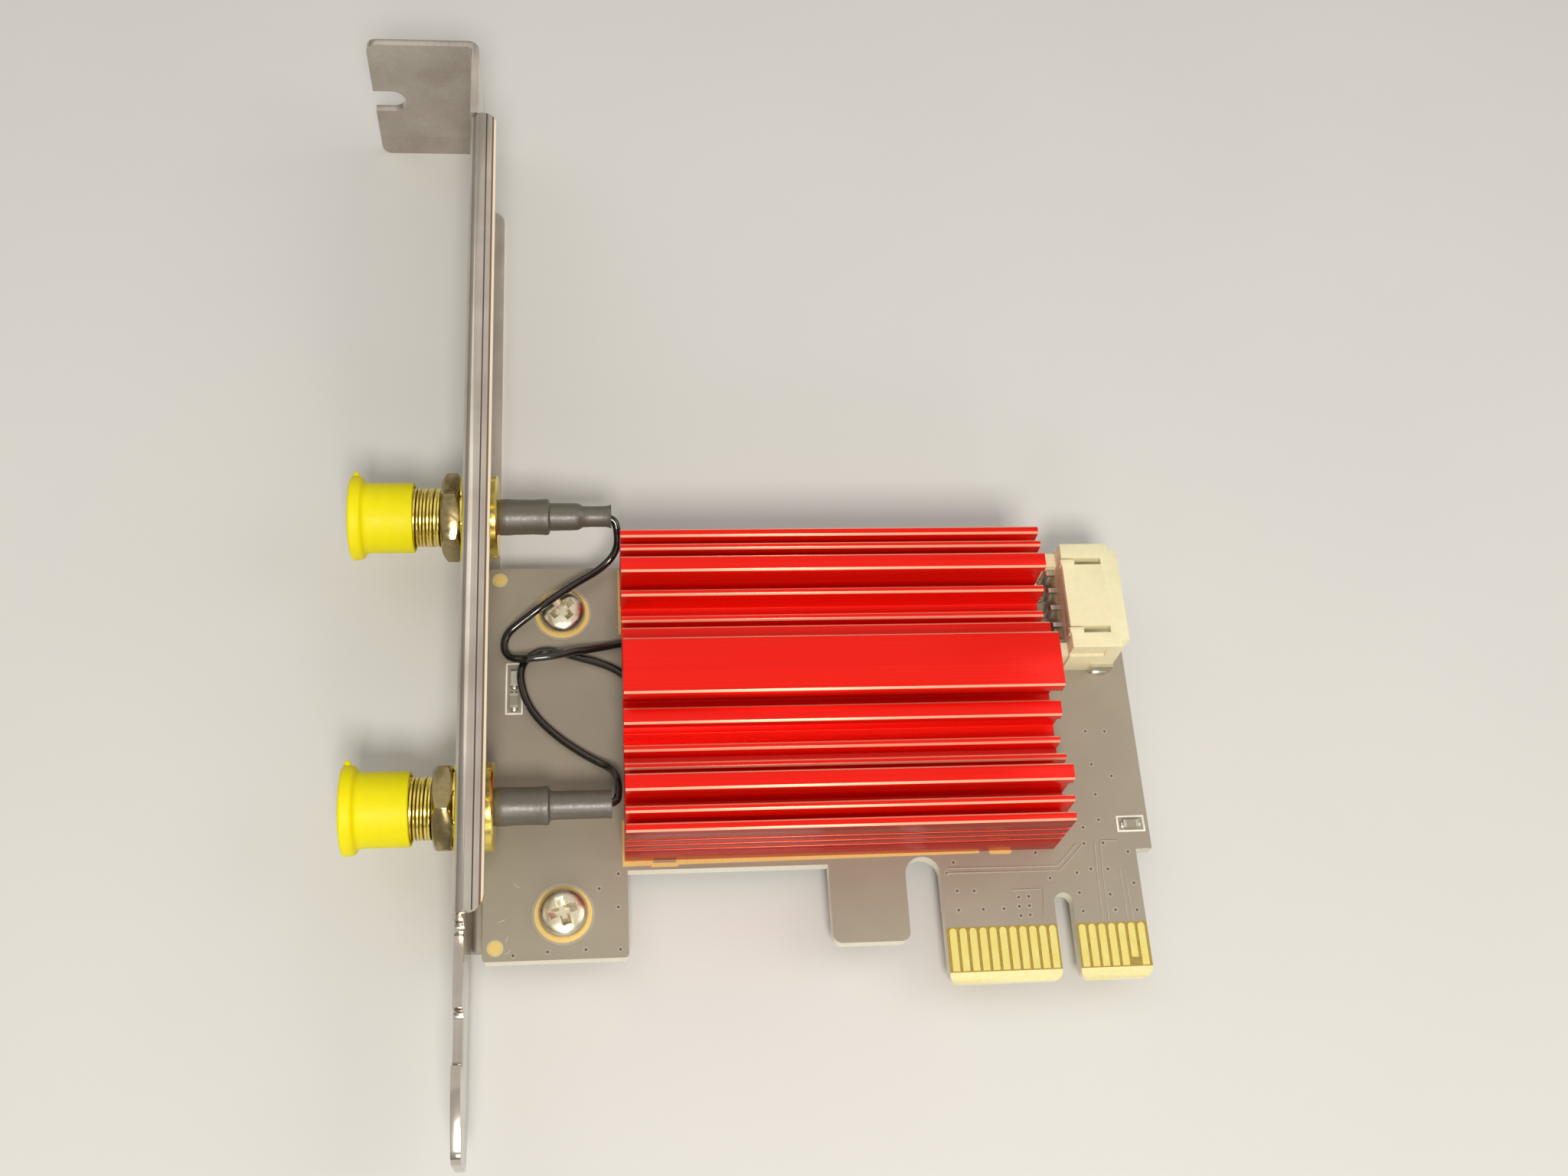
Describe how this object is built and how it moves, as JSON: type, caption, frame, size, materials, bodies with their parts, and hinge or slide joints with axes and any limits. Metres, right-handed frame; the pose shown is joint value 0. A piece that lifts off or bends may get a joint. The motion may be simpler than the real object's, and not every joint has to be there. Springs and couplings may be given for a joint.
{
  "type": "wireless network card",
  "caption": "Expansion card with a finned red heatsink over a radio module, a folded slot bracket with capped antenna jacks, coaxial leads and a side-entry header.",
  "frame": {"origin": "where the key notch's centreline meets the lower edge of the contact tongue, on the component side of the board", "axes": "+X along the card away from the bracket, +Y from the contact edge to the bracket's tab, +Z out of the component side"},
  "size_m": [0.0807, 0.12, 0.0184],
  "materials": {
    "board_mask": "matt dark grey solder mask over glass-fibre board, pale cut edges",
    "gold_plate": "thin gold plating on copper",
    "bracket_steel": "bright nickel-plated sheet steel",
    "screw_steel": "bright nickel-plated steel",
    "red_anodised": "red anodised extruded aluminium, bright along the fins' edges",
    "thermal_pad": "soft grey-blue filled silicone",
    "module_mask": "black solder mask",
    "shield_steel": "tinned sheet can",
    "socket_black": "moulded black plastic",
    "tinned_metal": "tin-plated contacts",
    "jack_gold": "gold-plated turned brass",
    "jack_insulator": "white turned plastic",
    "sleeve_black": "shrunk black tubing with a satin skin",
    "lead_black": "shiny black jacket",
    "cap_yellow": "soft moulded yellow plastic",
    "header_cream": "moulded cream-white plastic",
    "chip_black": "black glazed top on ceramic",
    "light_lens": "pale clear resin"
  },
  "bodies": {
    "card": {"bracket": "bracket_steel", "bracket_screws": "screw_steel", "chip_ends": "tinned_metal", "chip_resistors": "chip_black", "circuit_board": "board_mask", "edge_contacts": "gold_plate", "ground_plating": "gold_plate", "header_housing": "header_cream", "header_pins": "tinned_metal", "header_tabs": "tinned_metal", "heatsink": "red_anodised", "heatsink_screws": "screw_steel", "lower_jack_body": "jack_gold", "lower_jack_contact": "jack_gold", "lower_jack_insulator": "jack_insulator", "lower_jack_nut": "jack_gold", "lower_jack_washer": "jack_gold", "lower_lead": "lead_black", "lower_micro_plug": "jack_gold", "lower_sleeve": "sleeve_black", "module_board": "module_mask", "module_screw": "screw_steel", "module_shield": "shield_steel", "module_socket": "socket_black", "module_standoff": "tinned_metal", "socket_terminals": "tinned_metal", "status_light": "light_lens", "thermal_pad": "thermal_pad", "upper_jack_body": "jack_gold", "upper_jack_contact": "jack_gold", "upper_jack_insulator": "jack_insulator", "upper_jack_nut": "jack_gold", "upper_jack_washer": "jack_gold", "upper_lead": "lead_black", "upper_micro_plug": "jack_gold", "upper_sleeve": "sleeve_black"},
    "upper_cap": {"upper_dust_cap": "cap_yellow"},
    "lower_cap": {"lower_dust_cap": "cap_yellow"}
  },
  "joints": [
    {"name": "upper_cap_slide", "type": "slide", "parent": "card", "child": "upper_cap", "axis": [-1, 0, 0], "range_m": [0, 0.0075]},
    {"name": "lower_cap_slide", "type": "slide", "parent": "card", "child": "lower_cap", "axis": [-1, 0, 0], "range_m": [0, 0.0075]}
  ]
}
